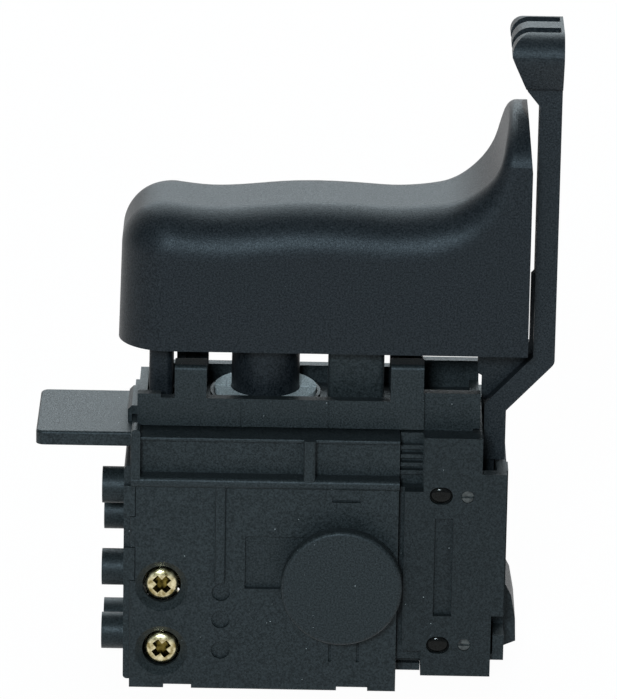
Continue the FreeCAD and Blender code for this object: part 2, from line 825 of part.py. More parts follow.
def trigger_outline():
    """Side view of the trigger: a finger hollow that sweeps up into the tongue."""
    z = trigger_bottom
    crest = z + trigger_grip_height
    tip_right = trigger_right - tongue_lean
    inner = tip_right - trigger_tongue_thickness
    far_left = trigger_left - 2
    over = z + trigger_tongue_height + 1.2
    shoulder = z + trigger_tongue_height - 6
    turn = Vector(inner - 8.2, 0, crest + 0.52)
    rising = Vector(1, 0, 0.16)
    grip = [Vector(far_left, 0, crest + 0.3), Vector(trigger_left + 3.5, 0, crest + 0.4),
            Vector(trigger_left + 10.4, 0, crest - 0.35), Vector(0.3 * inner - 6, 0, crest + 0.31),
            Vector(0.42 * inner, 0, crest + 0.16), turn]
    sweep = [turn, Vector(inner - 4.5, 0, crest + 2.1), Vector(inner - 1.5, 0, crest + 5.6),
             Vector(inner - 0.45, 0, crest + 9.6), Vector(inner, 0, over)]
    cut = tongue_corner_cut
    tongue_top = z + trigger_tongue_height
    flat = Vector(1, 0, 0)
    upright = Vector(0, 0, 1)
    path = [Vector(inner, 0, over), Vector(tip_right - cut, 0, over), Vector(tip_right - cut, 0, tongue_top),
            Vector(tip_right, 0, tongue_top - cut), Vector(trigger_right, 0, shoulder),
            Vector(trigger_right, 0, z), Vector(far_left, 0, z), grip[0]]
    edges = [smooth_curve(grip, flat, rising), smooth_curve(sweep, rising, upright)]
    edges += [line(a, b) for a, b in zip(path[:-1], path[1:])]
    return Part.Face(Part.Wire(edges))


def trigger_plan(left, half, corner, right, z):
    """Plan of the trigger at one height: round corners at the left end."""
    spin = math.sqrt(0.5)
    top_mid = Vector(left + corner * (1 - spin), half - corner * (1 - spin), z)
    low_mid = Vector(left + corner * (1 - spin), -half + corner * (1 - spin), z)
    a = Vector(right, half, z)
    b = Vector(left + corner, half, z)
    c = Vector(left, half - corner, z)
    d = Vector(left, -half + corner, z)
    e = Vector(left + corner, -half, z)
    f = Vector(right, -half, z)
    return Part.Wire([line(a, b), Part.Arc(b, top_mid, c).toShape(), line(c, d),
                      Part.Arc(d, low_mid, e).toShape(), line(e, f), line(f, a)])


def trigger_prism(inset, low, high):
    """The drafted plan of the trigger, taken in by a wall."""
    rise = trigger_tongue_height + 2

    def plan_at(height):
        share = height / rise
        left = trigger_left + trigger_left_draft * share * 2 + inset
        half = trigger_half_depth - trigger_side_draft * share - inset
        return trigger_plan(left, half, trigger_end_corner - inset, trigger_right - inset,
                            trigger_bottom + height)

    return Part.makeLoft([plan_at(low), plan_at(high)], True, True)


def trigger_arch():
    """End view: straight sides, with an arch over the tongue."""
    half = trigger_half_depth + 0.001
    rise = trigger_arch_rise
    z = trigger_bottom + trigger_tongue_height - rise
    points = []
    for sign in (-1, 1):
        points.append(Vector(0, sign * half, z))
    ellipse = Part.Ellipse(Vector(0, half, z), Vector(0, 0, z + rise), Vector(0, 0, z))
    quarter = ellipse.toShape(0, math.pi / 2)
    other = quarter.mirror(Vector(0, 0, 0), Vector(0, 1, 0))
    low = trigger_bottom - 1
    ends = [Vector(0, -half, low), Vector(0, half, low)]
    wire = Part.Wire(Part.__sortEdges__([quarter, other, line(points[0], ends[0]),
                                         line(ends[0], ends[1]), line(ends[1], points[1])]))
    face = Part.Face(wire)
    face.translate(Vector(trigger_left - 3, 0, 0))
    return face.extrude(Vector(trigger_right - trigger_left + 6, 0, 0))


def trigger_body():
    outline = trigger_outline()
    half = trigger_half_depth + 1
    outline.translate(Vector(0, -half, 0))
    block = outline.extrude(Vector(0, 2 * half, 0))
    block = block.common(trigger_prism(0, -1, trigger_tongue_height + 2))
    return block.common(trigger_arch())


def round_rim(block):
    """Round the grip's rim: wide along the grip, tighter as it climbs the tongue."""
    document = FreeCAD.newDocument()
    base = document.addObject("Part::Feature", "Block")
    base.Shape = block
    rounding = document.addObject("Part::Fillet", "Rounding")
    rounding.Base = base
    tongue_inside = trigger_right - tongue_lean - trigger_tongue_thickness
    chosen = []
    for number, edge in enumerate(block.Edges, start=1):
        span = edge.BoundBox
        if span.ZMin < trigger_bottom + 0.7 * trigger_grip_height or span.XMax > tongue_inside + 0.7:
            continue
        low, high = trigger_edge_radius, trigger_edge_radius
        if span.ZMax > trigger_bottom + trigger_tongue_height - trigger_arch_rise + 2:
            low, high = tongue_side_radius, tongue_edge_radius
        elif span.ZMax > trigger_bottom + trigger_grip_height + 3:
            high = tongue_side_radius
        climbs = edge.valueAt(edge.FirstParameter).z < edge.valueAt(edge.LastParameter).z
        first, last = (low, high) if climbs else (high, low)
        chosen.append((number, first, last))
    rounding.Edges = chosen
    document.recompute()
    shape = rounding.Shape.copy()
    FreeCAD.closeDocument(document.Name)
    return shape


def trigger():
    """The hollow trigger, with the boss on the plunger, a guide leg and two ribs."""
    body = round_rim(trigger_body())
    body = body.cut(trigger_prism(trigger_wall, -1, trigger_roof_z - trigger_bottom))
    into_roof = trigger_roof_z + 0.3
    boss = rod_z(plunger_radius + trigger_boss_wall, 0, 0, (trigger_boss_bottom, into_roof))
    leg = box((leg_left, leg_left + leg_width), (-leg_half_depth, leg_half_depth),
              (leg_bottom, into_roof))
    leg = round_edges(leg, leg_corner, lambda e: runs_along(e, 2))
    rib_half = trigger_half_depth - trigger_side_draft - trigger_wall / 2
    ribs = [box((x, x + trigger_rib_thickness), (-rib_half, rib_half),
                (trigger_roof_z - trigger_rib_depth, into_roof)) for x in trigger_rib_places]
    body = body.fuse([boss, leg] + ribs)
    bore = rod_z(plunger_radius + press_gap, 0, 0, (trigger_boss_bottom - 1, trigger_roof_z))
    notch = box((trigger_right - trigger_wall - 0.5, trigger_right + 1),
                (-lever_notch_half_depth, lever_notch_half_depth),
                (trigger_bottom - 1, trigger_bottom + lever_notch_height))
    return body.cut(Part.makeCompound([bore, notch]))


def plunger():
    rod = rod_z(plunger_radius, 0, 0, (slider_top, trigger_roof_z))
    return rod.fuse(rod_z(spigot_radius, 0, 0, (slider_top - spigot_length, slider_top + 0.1)))


def moving_contact():
    """The bridge that joins the two fixed contacts when the trigger is pressed."""
    half = contact_y + bridge_overhang
    bar = box((bridge_left, bridge_inner_end), (-half, half), (bridge_z, bridge_z + contact_thickness))
    tips = [rod_z(contact_tip_radius, contact_tip_x, y, (bridge_z - contact_tip_height, bridge_z + 0.1))
            for y in (-contact_y, contact_y)]
    return bar.fuse(tips)


def fixed_contacts():
    """Two strips, each bent from the face of its terminal clamp to its tip."""
    top = bridge_z - 2 * contact_tip_height - trigger_travel - fixed_contact_gap
    left = clamp_span()[1]
    z = (top - contact_thickness, top)
    contacts = []
    for y in (-contact_y, contact_y):
        width = (y - contact_width / 2, y + contact_width / 2)
        strip = box((left, left + contact_reach), width, z)
        strip = strip.fuse(rod_z(contact_tip_radius, contact_tip_x, y, (top - 0.1, top + contact_tip_height)))
        if y > 0:
            strip = strip.fuse(box((left, left + contact_thickness), width,
                                   (z[0], back_screw_heights[1])))
        contacts.append(strip)
    return contacts


def wiper_shape(gap):
    z = slider_bottom + wiper_rise
    return box((wiper_span[0] - gap, wiper_span[1] + gap),
               (slider_back - wiper_root - gap, board_front_y - wiper_gap),
               (z - gap, z + wiper_thickness + gap))


def contact_slider():
    """The insulating block under the plunger, with the arm that the lock button holds."""
    half = slider_half_width
    block = box((-half, half), (slider_front, slider_back), (slider_bottom, slider_top))
    block = round_edges(block, slider_corner, lambda e: runs_along(e, 2))
    arm = box((half - slider_corner - 0.2, arm_end), (slider_front, slider_front + arm_depth),
              (slider_bottom, latch_top))
    tools = [rod_z(spring_pocket_radius, 0, 0, (slider_bottom - 1, slider_bottom + spring_pocket_depth))]
    tools.append(rod_z(spigot_radius + press_gap, 0, 0, (slider_top - spigot_length, slider_top + 1)))
    reach = contact_y + bridge_overhang + press_gap
    tools.append(box((-half - 1, bridge_inner_end), (-reach, reach),
                     (bridge_z, bridge_z + contact_thickness)))
    tools.append(wiper_shape(press_gap))
    return block.fuse(arm).cut(Part.makeCompound(tools))


def circuit_board():
    return box(board_span, (board_front_y, board_back_y), board_heights)


def power_chip():
    return box(chip_span, (board_front_y - chip_thickness, board_front_y), chip_heights)


def heat_sink():
    """A bent plate on the face of the power chip."""
    back = board_front_y - chip_thickness
    front = back - heat_sink_thickness
    plate = box(heat_sink_span, (front, back), heat_sink_heights)
    fin = box((heat_sink_span[1] - heat_sink_thickness, heat_sink_span[1]),
              (front - heat_sink_fin, back), heat_sink_heights)
    return plate.fuse(fin).removeSplitter()


def capacitor():
    can = rod_x(capacitor_radius, capacitor_span, board_front_y - capacitor_radius, capacitor_z)
    return round_edges(can, 0.4, lambda e: e.BoundBox.XLength < 0.01)


def return_spring():
    return coil(return_spring_radius, return_spring_wire / 2, shell_wall + spring_end_gap,
                slider_bottom + spring_pocket_depth - spring_end_gap, return_spring_turns, Vector(0, 0, 0))


def lock_button():
    cap = rod_y(button_cap_radius, button_x, (cap_front_y, cap_back_y), button_z)
    cap = round_edges(cap, button_cap_round, lambda e: e.BoundBox.YMax < cap_front_y + 0.01)
    stem = rod_y(button_stem_radius, button_x, (cap_back_y - 0.1, stem_end_y), button_z)
    groove_radius = button_stem_radius - clip_groove_depth
    groove = rod_y(button_stem_radius + 1, button_x, (clip_front_y, clip_front_y + clip_thickness), button_z)
    groove = groove.cut(rod_y(groove_radius, button_x, (clip_front_y - 1, stem_end_y), button_z))
    nose = rod_y(button_nose_radius, button_x, (stem_end_y - 0.1, stem_end_y + button_nose_length), button_z)
    return cap.fuse([stem.cut(groove), nose])


def lock_clip():
    """An open ring, sprung into the groove of the button's stem."""
    y = (clip_front_y, clip_front_y + clip_thickness)
    ring = rod_y(clip_radius, button_x, y, button_z)
    inner = button_stem_radius - clip_groove_depth + press_gap
    ring = ring.cut(rod_y(inner, button_x, (y[0] - 1, y[1] + 1), button_z))
    half = clip_opening / 2
    return ring.cut(box((button_x - half, button_x + half), (y[0] - 1, y[1] + 1),
                        (button_z - clip_radius - 1, button_z)))


def lock_spring():
    front = cap_back_y + spring_end_gap
    back = face_y + button_well_depth - spring_end_gap
    spring = coil(lock_spring_radius, lock_spring_wire / 2, 0, back - front, lock_spring_turns,
                  Vector(0, 0, 0))
    spring.rotate(Vector(0, 0, 0), Vector(1, 0, 0), -90)
    spring.translate(Vector(button_x, front, button_z))
    return spring


def reverse_housing():
    """The open box of the reversing unit; its cover closes it on the front."""
    front = unit_joint_y
    back_inside = unit_back_y - unit_wall
    right_inside = unit_right - unit_wall
    body = box((unit_left, unit_right), (front, unit_back_y), (unit_bottom, unit_top))
    body = round_edges(body, unit_corner, lambda e: runs_along(e, 2) and e.BoundBox.YMin > unit_back_y - 0.01)
    foot = box(unit_foot, (front, unit_back_y - unit_corner), (unit_foot_bottom, unit_floor_top))
    out = unit_right + bulge_reach
    bulge = slab_xz([(bulge_root, bulge_bottom), (out, bulge_bottom + 1.5), (out - 0.1, bulge_bottom + 4.5),
                     (unit_right + 0.6 * bulge_reach, bulge_top - 1.4), (unit_right + 0.3, bulge_top),
                     (bulge_root + 0.4, bulge_top), (bulge_root, unit_bottom)], (bulge_front, bulge_back))
    body = body.fuse([foot, bulge])

    tools = [box((unit_left + unit_left_wall, right_inside), (front - 1, back_inside),
                 (unit_floor_top, unit_top - unit_wall))]
    tools.append(box((slot_left, unit_right + 1), (-lever_slot_half_depth, lever_slot_half_depth),
                     (lever_slot_bottom, unit_top + 1)))
    tools.append(box((slot_left, unit_right + 1), (front - 1, lever_open_front),
                     (lever_open_bottom, unit_top + 1)))
    tools.append(box((unit_left - 1, comb_right), (front - 1, comb_back_y), (unit_cover_step_z, unit_top + 1)))
    tools.append(box((unit_square_left, unit_right + 1), (front - 1, unit_square_back), unit_square_heights))
    body = body.cut(Part.makeCompound(tools))

    inner = [box((unit_left, comb_right + 0.1), (comb_front_y, comb_back_y + 0.1),
                 (z - comb_thickness / 2, z + comb_thickness / 2)) for z in comb_heights]
    partition = box((partition_right - partition_thickness, partition_right),
                    (partition_front, back_inside + 0.1), partition_heights)
    post = box((partition_right - 0.1, right_inside + 0.1), (-ball_post_half, ball_post_half),
               (unit_floor_top - 0.1, ball_post_top))
    body = body.fuse(inner + [partition, post])
    pivot = rod_x(pivot_radius + pivot_seat_gap, (partition_right - partition_thickness + 0.5,
                                                  unit_right + 1), 0, pivot_z)
    ball_bore = rod_z(ball_radius + ball_bore_gap, ball_place().x, 0, (ball_bore_bottom, ball_post_top + 1))
    return body.cut(Part.makeCompound([pivot, ball_bore]))


def ball_place():
    return Vector(swing_arm_left + hub_thickness / 2, 0, swing_arm_end - ball_gap - ball_radius)


def oval_y(width, height, x, z, y):
    radius = height / 2
    reach = width / 2 - radius
    middle = box((x - reach, x + reach), y, (z - radius, z + radius))
    ends = [rod_y(radius, x + side * reach, y, z) for side in (-1, 1)]
    return middle.fuse(ends).removeSplitter()


def reverse_cover():
    """The stepped plate on the front of the reversing unit."""
    outline = [(unit_cover_left, unit_cover_lower_bottom), (unit_cover_left, unit_cover_step_z),
               (unit_cover_upper_left, unit_cover_step_z), (unit_cover_upper_left, unit_cover_top),
               (slot_left, unit_cover_top), (slot_left, lever_open_bottom),
               (unit_cover_right, lever_open_bottom), (unit_cover_right, unit_cover_right_step),
               (unit_foot[1], unit_cover_right_step), (unit_foot[1], unit_foot_bottom),
               (unit_foot[0], unit_foot_bottom), (unit_foot[0], unit_cover_lower_bottom)]
    plate = slab_xz(outline, (unit_front_y, unit_joint_y))
    through = (unit_front_y - 1, unit_joint_y + 1)
    tools = [box(cover_slot, (unit_front_y - 1, unit_front_y + cover_slot_depth),
                 (cover_slot_bottom, cover_slot_top))]
    for z in cover_eye_heights:
        tools.append(oval_y(cover_eye_width, cover_eye_height, cover_eye_x, z, through))
    for z in pin_heights:
        tools.append(rod_y(pin_radius + pin_gap, pin_x, through, z))
    return plate.cut(Part.makeCompound(tools))


def cover_rivets():
    """Oval plugs with a flange behind the cover."""
    rivets = []
    for z in cover_eye_heights:
        plug = oval_y(cover_eye_width - 2 * cover_eye_gap, cover_eye_height - 2 * cover_eye_gap,
                      cover_eye_x, z, (unit_front_y + rivet_sink, unit_joint_y + 0.1))
        flange = box((cover_eye_x - rivet_flange_width / 2, cover_eye_x + rivet_flange_width / 2),
                     (unit_joint_y, unit_joint_y + rivet_flange),
                     (z - rivet_flange_height / 2, z + rivet_flange_height / 2))
        rivets.append(plug.fuse(flange))
    return rivets


def locating_pins():
    pins = []
    for z in pin_heights:
        pin = rod_y(pin_radius, pin_x, (unit_front_y + pin_sink, unit_joint_y + 0.1), z)
        pin = pin.fuse(rod_y(pin_flange_radius, pin_x, (unit_joint_y, unit_joint_y + rivet_flange), z))
        slot = box((pin_x - pin_radius - 0.1, pin_x + pin_radius + 0.1),
                   (unit_front_y, unit_front_y + pin_sink + pin_slot), (z - pin_slot / 2, z + pin_slot / 2))
        pins.append(pin.cut(slot))
    return pins


def knob_end_view():
    """The knob seen along X: a round top, widest below it, then drawn in to the bar."""
    top, wide, waist = knob_top, knob_widest, knob_waist
    half, neck = knob_half_depth, lever_half_depth
    flank = [Vector(0, knob_top_half, top), Vector(0, half - 0.85, top - 0.8), Vector(0, half, wide),
             Vector(0, half - 1.0, 0.6 * wide + 0.4 * waist), Vector(0, neck + 0.6, 0.25 * wide + 0.75 * waist),
             Vector(0, neck, waist)]
    side = smooth_curve(flank, Vector(0, 1, 0), Vector(0, 0, -1))
    other = side.mirror(Vector(0, 0, 0), Vector(0, 1, 0))
    foot = knob_bottom - 1
    corners = [flank[-1], Vector(0, neck, foot), Vector(0, -neck, foot), Vector(0, -neck, waist)]
    edges = [side, other, line(flank[0], Vector(0, -knob_top_half, top))]
    edges += [line(a, b) for a, b in zip(corners[:-1], corners[1:])]
    face = Part.Face(Part.Wire(Part.__sortEdges__(edges)))
    face.translate(Vector(knob_left - 1, 0, 0))
    return face.extrude(Vector(lever_bar_right - knob_left + 2, 0, 0))


def lever_knob():
    """The finned grip at the top of the lever."""
    outline = [(lever_bar_right, knob_bottom), (lever_bar_right, knob_top), (knob_left, knob_top),
               (knob_left, knob_widest), (knob_shoulder, knob_shoulder_bottom),
               (lever_bar_left, knob_bottom)]
    half = knob_half_depth
    block = slab_xz(outline, (-half, half))
    block = round_edges(block, knob_corner, lambda e: runs_along(e, 1) and e.BoundBox.ZMin > knob_top - 0.01
                        and e.BoundBox.XMax < knob_left + 0.01)
    block = block.common(knob_end_view())
    groove = (2 * half - 3 * knob_fin) / 2
    first = -half + knob_fin
    depth = knob_groove_depth
    cuts = []
    for low in (first, first + knob_fin + groove):
        y = (low, low + groove)
        right = lever_bar_right - knob_groove_end
        cuts.append(slab_xz([(knob_left - 1, knob_top - depth), (right - depth / 2, knob_top - depth),
                             (right, knob_top), (right, knob_top + 1), (knob_left - 1, knob_top + 1)], y))
        cuts.append(slab_xz([(knob_left - 1, knob_top), (knob_left + depth, knob_top),
                             (knob_left + depth, knob_widest), (knob_shoulder, knob_shoulder_bottom + 1.2),
                             (knob_left - 1, knob_shoulder_bottom + 1.2)], y))
    return block.cut(Part.makeCompound(cuts))


def reverse_lever():
    """The bent lever, its hub and the arm that works the reversing contacts."""
    half = lever_half_depth
    base = (lever_base_left, lever_base_left + lever_width)
    rise = (lever_bar_left - lever_base_left) * lever_bend_slope
    inner_low = lever_bend_bottom - lever_bend_drop
    bar = slab_xz([(base[0], lever_base_bottom), (base[0], lever_bend_bottom),
                   (lever_bar_left, lever_bend_bottom + rise), (lever_bar_left, knob_bottom + 0.2),
                   (lever_bar_right, knob_bottom + 0.2), (lever_bar_right, inner_low + rise),
                   (base[1], inner_low), (base[1], lever_base_bottom)], (-half, half))
    bar = round_edges(bar, lever_bend_round, lambda e: runs_along(e, 1)
                      and e.BoundBox.XMin > lever_bar_right - 0.01 and e.BoundBox.ZMax < inner_low + rise + 0.01)
    web_left = lever_bar_left - lever_web_reach
    near, far = [lever_base_left - reach for reach in lever_gusset_reach]
    step = lever_gusset_step
    web = slab_xz([(lever_base_left + 0.1, lever_bend_bottom - 0.2), (near, lever_bend_bottom + 0.2), (near, step),
                   (far, step + 0.3), (far, lever_gusset_top - 0.5), (far + 0.5, lever_gusset_top),
                   (web_left, lever_gusset_top), (web_left, lever_web_top - 0.5),
                   (lever_bar_left, lever_web_top), (lever_bar_left + 0.1, lever_web_top),
                   (lever_bar_left + 0.1, lever_bend_bottom + rise - 0.2)], (-lever_web_half, lever_web_half))
    thick = (swing_arm_left, swing_arm_left + hub_thickness)
    hub = rod_x(hub_radius, thick, 0, pivot_z)
    upper = box(thick, (-lever_arm_half, lever_arm_half), (pivot_z, lever_base_bottom + 0.1))
    lower = box(thick, (-swing_arm_half, swing_arm_half), (swing_arm_end, pivot_z))
    lever = bar.fuse([lever_knob(), web, hub, upper, lower])
    return lever.cut(rod_x(pivot_radius + pivot_gap, (thick[0] - 1, thick[1] + 1), 0, pivot_z))


def lever_pivot():
    left = partition_right - partition_thickness + 0.5
    return rod_x(pivot_radius, (left, unit_right), 0, pivot_z)


def reverse_bridge():
    """The contact piece on the lever's lower arm."""
    z = swing_arm_end + bridge_lift
    bridge = box((swing_arm_left - bridge_depth, swing_arm_left), (-bridge_half_width, bridge_half_width),
                 (z, z + bridge_height))
    return round_edges(bridge, 0.4, lambda e: runs_along(e, 0))


def reverse_contacts():
    """A contact blade on each side of the bridge."""
    left = swing_arm_left - bridge_depth
    blades = []
    for side in (-1, 1):
        y = sorted((side * blade_inner_y, side * (blade_inner_y + blade_thickness)))
        blades.append(box((left, left + blade_width), y, (unit_floor_top, blade_top)))
    return blades


def detent_ball():
    return Part.makeSphere(ball_radius, ball_place())


def detent_spring():
    place = ball_place()
    return coil(detent_spring_radius, detent_spring_wire / 2, ball_bore_bottom, place.z - ball_radius,
                detent_spring_turns, Vector(place.x, 0, 0))


def link_bars():
    """Two bars that pass from the main housing to the reversing unit."""
    return [box((body_right, unit_foot[0]), (link_bar_front_y, link_bar_back_y), (z, z + link_bar_thickness))
            for z in link_bar_heights]


os.makedirs("parts", exist_ok=True)
for build in (housing_base, front_cover, terminal_block, terminal_clamps, terminal_screws, slide_frame,
              plunger_seal, trigger, plunger, contact_slider, moving_contact, fixed_contacts, circuit_board,
              power_chip, heat_sink, capacitor, return_spring, lock_button, lock_clip, lock_spring,
              reverse_housing, reverse_cover, cover_rivets, locating_pins, reverse_lever, lever_pivot,
              reverse_bridge, reverse_contacts, detent_ball, detent_spring, link_bars):
    save(build.__name__, build())
save("speed_wiper", wiper_shape(0))
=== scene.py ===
# %% [markdown]
# A trigger switch of a hand-held rotary power tool, dressed for its portrait. The solid model is
# already made and comes in as a fixed frame: here it gets its camera, its light, its finishes and
# the small surface details that are too fine for the solids. Everything is in metres, in the
# frame of the solids: X along the trigger, Y into the switch, Z up.

# %% Load the frame
import math
import bpy
import bmesh
from mathutils import Matrix, Vector


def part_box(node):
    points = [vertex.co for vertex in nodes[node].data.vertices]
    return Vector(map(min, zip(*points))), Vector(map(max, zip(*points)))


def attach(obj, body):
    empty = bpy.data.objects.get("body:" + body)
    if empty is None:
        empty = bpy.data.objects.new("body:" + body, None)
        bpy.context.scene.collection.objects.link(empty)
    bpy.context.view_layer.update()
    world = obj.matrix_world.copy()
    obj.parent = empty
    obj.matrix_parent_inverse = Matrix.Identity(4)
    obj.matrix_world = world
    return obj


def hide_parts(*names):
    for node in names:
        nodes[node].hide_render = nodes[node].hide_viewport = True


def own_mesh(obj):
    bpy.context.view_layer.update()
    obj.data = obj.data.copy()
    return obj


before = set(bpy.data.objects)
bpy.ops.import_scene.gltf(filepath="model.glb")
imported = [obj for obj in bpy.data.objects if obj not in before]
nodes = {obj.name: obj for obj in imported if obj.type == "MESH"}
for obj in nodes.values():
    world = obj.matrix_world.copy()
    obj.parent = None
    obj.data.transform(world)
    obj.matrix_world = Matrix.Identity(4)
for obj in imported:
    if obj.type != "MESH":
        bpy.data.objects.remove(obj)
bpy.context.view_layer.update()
mm = 0.001

# %% [markdown]
# The camera decides what every later choice is judged by, so it comes first. The photo was taken
# with a long lens from straight in front of the cover, a little from above, and the switch leans
# by one degree in the picture. A camera is easiest to place from the point it looks at: go back
# along the line of sight, then build its axes by hand so that the lean is exact.

# %% Camera
target = Vector((5.31, 0.0, 41.36)) * mm
distance = 0.8
elevation = math.radians(19)
lean = math.radians(1)
pixels_per_mm = 8.0
long_side_px = 699
sensor = 36.0

toward = Vector((0, math.cos(elevation), -math.sin(elevation)))
level_right = Vector((1, 0, 0))
level_up = level_right.cross(toward)
right = level_right * math.cos(lean) + level_up * math.sin(lean)
up = right.cross(toward)

camera_data = bpy.data.cameras.new("camera")
camera_data.sensor_width = sensor
camera_data.lens = sensor * pixels_per_mm * distance / mm / long_side_px
camera_data.clip_start = 0.05
camera = bpy.data.objects.new("camera", camera_data)
bpy.context.scene.collection.objects.link(camera)
place = target - toward * distance
camera.matrix_world = Matrix((
    (right.x, up.x, -toward.x, place.x),
    (right.y, up.y, -toward.y, place.y),
    (right.z, up.z, -toward.z, place.z),
    (0, 0, 0, 1)))
bpy.context.scene.camera = camera
bpy.context.scene.view_settings.view_transform = "Standard"
print("camera lens", round(camera_data.lens, 1), "mm at", [round(v, 3) for v in place])

# %% [markdown]
# The stage is a pale floor that curves up into a backdrop, so no horizon line shows. For the rays
# of the camera and of mirror reflections most of it glows a plain white, and the rest stays a
# diffuse surface, so that the soft shadow of the switch still lies on it. Every material here is
# made of shader nodes, so three small helpers come first.

# %% Node helpers
def new_material(name):
    material = bpy.data.materials.new(name)
    material.use_nodes = True
    material.node_tree.nodes.clear()
    return material


def add_node(tree, kind, **inputs):
    """Add a shader node and set its sockets by name; spaces are written as underscores."""
    node = tree.nodes.new("ShaderNode" + kind)
    for name, value in inputs.items():
        node.inputs[name.replace("_", " ")].default_value = value
    return node


def join(tree, a, out, b, into):
    tree.links.new(a.outputs[out], b.inputs[into])


# %% White for the eye, diffuse for the light
def pale_ground(name, paint, glow, glow_share):
    """A diffuse paint that mostly glows for the camera, for mirrors and for glass."""
    material = new_material(name)
    tree = material.node_tree
    diffuse = add_node(tree, "BsdfDiffuse", Color=paint)
    shine = add_node(tree, "Emission", Color=(1, 1, 1, 1), Strength=glow)
    rays = add_node(tree, "LightPath")
    either = tree.nodes.new("ShaderNodeMath")
    either.operation = "MAXIMUM"
    join(tree, rays, "Is Camera Ray", either, 0)
    join(tree, rays, "Is Glossy Ray", either, 1)
    any_of_three = tree.nodes.new("ShaderNodeMath")
    any_of_three.operation = "MAXIMUM"
    join(tree, either, 0, any_of_three, 0)
    join(tree, rays, "Is Transmission Ray", any_of_three, 1)
    share = tree.nodes.new("ShaderNodeMath")
    share.operation = "MULTIPLY"
    share.inputs[1].default_value = glow_share
    join(tree, any_of_three, 0, share, 0)
    mix = tree.nodes.new("ShaderNodeMixShader")
    join(tree, share, 0, mix, "Fac")
    join(tree, diffuse, 0, mix, 1)
    join(tree, shine, 0, mix, 2)
    output = tree.nodes.new("ShaderNodeOutputMaterial")
    join(tree, mix, 0, output, "Surface")
    return material


# %% Floor and backdrop
def sweep_floor(width, front, back, height, bend):
    """A floor that turns up into a wall through a quarter circle."""
    steps = 24
    profile = [(front, 0.0)]
    for i in range(steps + 1):
        angle = math.pi / 2 * i / steps
        profile.append((back - bend + bend * math.sin(angle), bend - bend * math.cos(angle)))
    profile.append((back, height))
    mesh = bmesh.new()
    rows = [[mesh.verts.new((x, y, z)) for y, z in profile] for x in (-width / 2, width / 2)]
    for i in range(len(profile) - 1):
        mesh.faces.new((rows[0][i], rows[1][i], rows[1][i + 1], rows[0][i + 1]))
    data = bpy.data.meshes.new("floor")
    mesh.to_mesh(data)
    mesh.free()
    for face in data.polygons:
        face.use_smooth = True
    floor = bpy.data.objects.new("floor", data)
    bpy.context.scene.collection.objects.link(floor)
    return floor


floor = sweep_floor(width=6.0, front=-3.0, back=1.6, height=3.0, bend=0.8)
floor.data.materials.append(
    pale_ground("pale_floor", paint=(0.85, 0.85, 0.85, 1), glow=1.0, glow_share=0.975))
print("floor", [round(v, 2) for v in floor.dimensions])

# %% [markdown]
# Black plastic takes most of its brightness from reflections. The top faces are seen at a low angle
# and mirror the white backdrop, and the front faces mirror the white floor, but weakly. Between the
# two a rounded edge mirrors the dim room above, and turns dark. One cool lamp in front, a little
# higher than the camera and to the left, draws the band of light along the trigger's rim and the
# knob, and leaves small shadows in the recesses. A sheet overhead, set back a little, makes the top
# faces fade softly into the dark of the edge, and a second one lower down behind lifts them.

# %% Sky
world = bpy.data.worlds.new("room")
world.use_nodes = True
room = world.node_tree
room.nodes.clear()
sky = add_node(room, "Background", Color=(0.88, 0.97, 1.0, 1), Strength=0.25)
sky_output = room.nodes.new("ShaderNodeOutputWorld")
join(room, sky, 0, sky_output, "Surface")
bpy.context.scene.world = world
print("sky strength", sky.inputs["Strength"].default_value)


# %% Lamps
def soft_lamp(name, position, aim, size, power, colour):
    """A rectangle of light at a position, turned towards the aim."""
    data = bpy.data.lights.new(name, "AREA")
    data.color = colour
    data.shape = "RECTANGLE"
    data.size, data.size_y = size
    data.energy = power
    lamp = bpy.data.objects.new(name, data)
    lamp.location = position
    lamp.rotation_euler = (Vector(aim) - Vector(position)).to_track_quat("-Z", "Y").to_euler()
    bpy.context.scene.collection.objects.link(lamp)
    return lamp


lamps = (
    soft_lamp("front", (-0.12, -1.0, 0.48), aim=(0, 0, 0.045), size=(0.16, 0.12), power=9.0,
              colour=(0.76, 0.91, 1.0)),
    soft_lamp("overhead", (0.0, 0.45, 0.92), aim=(0, 0, 0.05), size=(0.9, 0.4), power=4.2,
              colour=(0.85, 0.96, 1.0)),
    soft_lamp("behind", (0.0, 0.8, 0.5), aim=(0, 0, 0.05), size=(0.9, 0.35), power=3.4,
              colour=(0.78, 0.93, 1.0)),
)
for lamp in lamps:
    print(lamp.name, "lamp,", round(lamp.data.energy, 1), "W at", [round(v, 2) for v in lamp.location])

# %% [markdown]
# Glass-filled nylon is dark but not black. It has a fine moulded grain, and where a rounded edge
# turns through the light the grain breaks the highlight up into small bluish sparks. Noise as fine
# as the grain does this in three ways: a bump, a change of roughness and a change of colour. A few
# pale specks of dust lie on the housing. They are the cores of scattered cells, so that they stay
# small and apart, which plain noise wouldn't give.

# %% Noise helpers
noise_band = (0.35, 0.65)


def noise(tree, cells_per_metre, detail):
    """Noise in the frame's own coordinates, so that it keeps its size on every piece."""
    where = tree.nodes.new("ShaderNodeTexCoord")
    texture = add_node(tree, "TexNoise", Scale=cells_per_metre, Detail=detail)
    join(tree, where, "Object", texture, "Vector")
    return texture


def spread(tree, source, band, reach):
    """Stretch a band of the noise, where most of its values lie, over a reach of values."""
    ramp = add_node(tree, "MapRange", From_Min=band[0], From_Max=band[1], To_Min=reach[0], To_Max=reach[1])
    join(tree, source, "Fac", ramp, "Value")
    return ramp


def tint(tree, source, dark, light):
    """Blend two colours by the noise."""
    ramp = tree.nodes.new("ShaderNodeValToRGB")
    for stop, position, colour in zip(ramp.color_ramp.elements, noise_band, (dark, light)):
        stop.position = position
        stop.color = colour
    join(tree, source, "Fac", ramp, "Fac")
    return ramp


